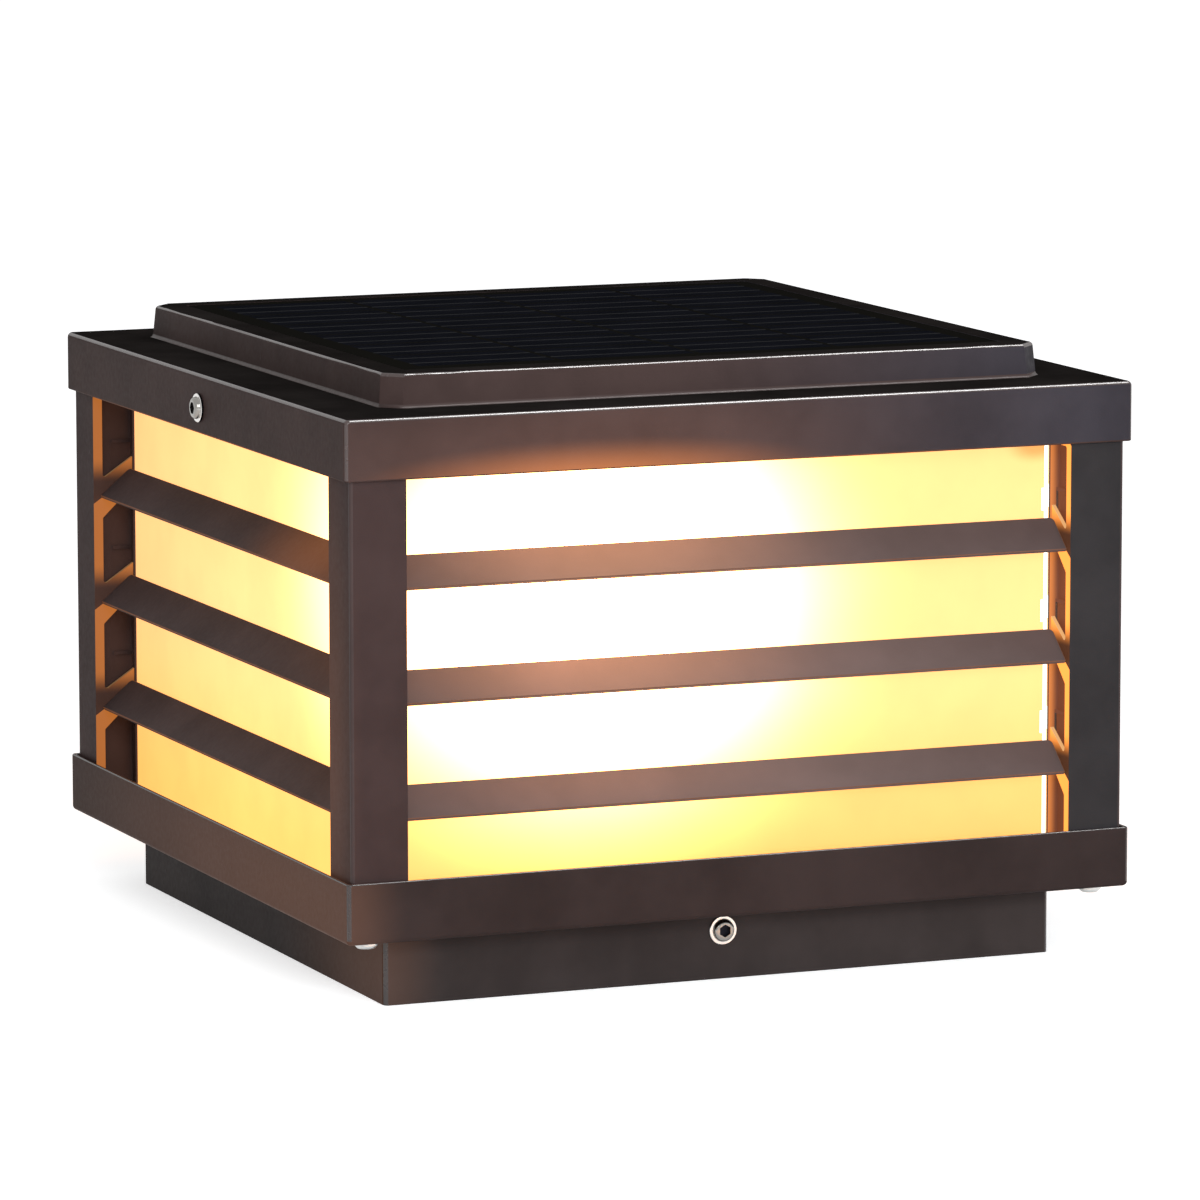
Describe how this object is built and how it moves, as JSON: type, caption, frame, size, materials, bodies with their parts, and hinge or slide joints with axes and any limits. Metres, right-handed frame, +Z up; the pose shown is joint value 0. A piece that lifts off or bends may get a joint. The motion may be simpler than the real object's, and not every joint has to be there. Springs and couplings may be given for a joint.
{
  "type": "solar pillar lantern",
  "caption": "Square louvred solar lantern for a gate pillar, with a stepped lift-off cap, frosted side panels, an inner lamp unit and a bolt-down strap.",
  "frame": {"origin": "centre of the plinth's bottom edge, on the face that stands on the pillar", "axes": "+Z up, -Y the front face of the picture, -X the left face"},
  "size_m": [0.2544, 0.25, 0.1845],
  "materials": {
    "cap_coat": "fine-textured dark bronze powder coat",
    "tray_coat": "fine-textured dark bronze powder coat",
    "frame_coat": "fine-textured dark bronze powder coat",
    "louvre_coat": "fine-textured dark bronze powder coat",
    "rail_coat": "fine-textured dark bronze powder coat",
    "zinc_plate": "bright zinc plate, satin",
    "stainless": "stainless, semi-bright",
    "solar_laminate": "black photovoltaic cells under clear glass",
    "seal_foam": "closed-cell foam",
    "seal_rubber": "matte",
    "black_plastic": "fine matt texture",
    "lead_sheath": "smooth sheath",
    "button_rubber": "soft matt grey",
    "white_coat": "gloss white enamel, to reflect the light",
    "white_plastic": "satin white moulding",
    "reflector_white": "gloss white",
    "cell_wrap": "blue shrink film",
    "board_green": "solder mask",
    "led_board_white": "white solder mask",
    "led_phosphor": "warm phosphor",
    "opal_dome": "opal, satin outside",
    "opal_sheet": "opal, fine frost on both faces"
  },
  "bodies": {
    "lantern": {"bottom_tray": "tray_coat", "bracket_nuts": "zinc_plate", "mounting_bracket": "zinc_plate", "panel_channels": "rail_coat", "panel_front": "opal_sheet", "panel_left": "opal_sheet", "panel_rear": "opal_sheet", "panel_right": "opal_sheet", "plinth": "tray_coat", "plinth_screws": "stainless", "post_front_left": "frame_coat", "post_front_right": "frame_coat", "post_rear_left": "frame_coat", "post_rear_right": "frame_coat", "rail_front_left": "rail_coat", "rail_front_right": "rail_coat", "rail_rear_left": "rail_coat", "rail_rear_right": "rail_coat", "slat_front_1": "louvre_coat", "slat_front_2": "louvre_coat", "slat_front_3": "louvre_coat", "slat_left_1": "louvre_coat", "slat_left_2": "louvre_coat", "slat_left_3": "louvre_coat", "slat_rear_1": "louvre_coat", "slat_rear_2": "louvre_coat", "slat_rear_3": "louvre_coat", "slat_right_1": "louvre_coat", "slat_right_2": "louvre_coat", "slat_right_3": "louvre_coat", "top_frame": "frame_coat", "tray_screws": "zinc_plate"},
    "cap": {"roof_cap": "cap_coat", "cap_screws": "stainless", "cap_nuts": "zinc_plate", "panel_ledge": "zinc_plate", "panel_gasket": "seal_foam", "solar_panel": "solar_laminate", "junction_box": "black_plastic", "lamp_leads": "lead_sheath", "lead_grommet": "seal_rubber", "lamp_deck": "white_coat", "housing_gasket": "seal_rubber", "lamp_housing": "white_plastic", "hinge_pin": "stainless", "battery_holder": "black_plastic", "battery_cells": "cell_wrap", "battery_contacts": "stainless", "controller_board": "board_green", "power_switch": "black_plastic", "led_board": "led_board_white", "led_chips": "led_phosphor", "reflector_ring": "reflector_white", "frosted_dome": "opal_dome", "dome_gasket": "seal_rubber", "dome_retainer": "white_plastic", "lamp_screws": "zinc_plate"},
    "battery_door": {"battery_door": "white_plastic", "door_seal": "seal_rubber"},
    "power_button": {"power_button": "button_rubber"}
  },
  "joints": [
    {"name": "cap_lift", "type": "slide", "parent": "lantern", "child": "cap", "axis": [0, 0, 1], "range_m": [0, 0.075]},
    {"name": "battery_door_hinge", "type": "hinge", "parent": "cap", "child": "battery_door", "pos_m": [-0.096, 0, 0.1432], "axis": [0, 1, 0], "range_deg": [0, 90]},
    {"name": "power_button_press", "type": "slide", "parent": "cap", "child": "power_button", "axis": [0, 0, 1], "range_m": [0, 0.0015], "stiffness_N_per_m": 1200}
  ]
}
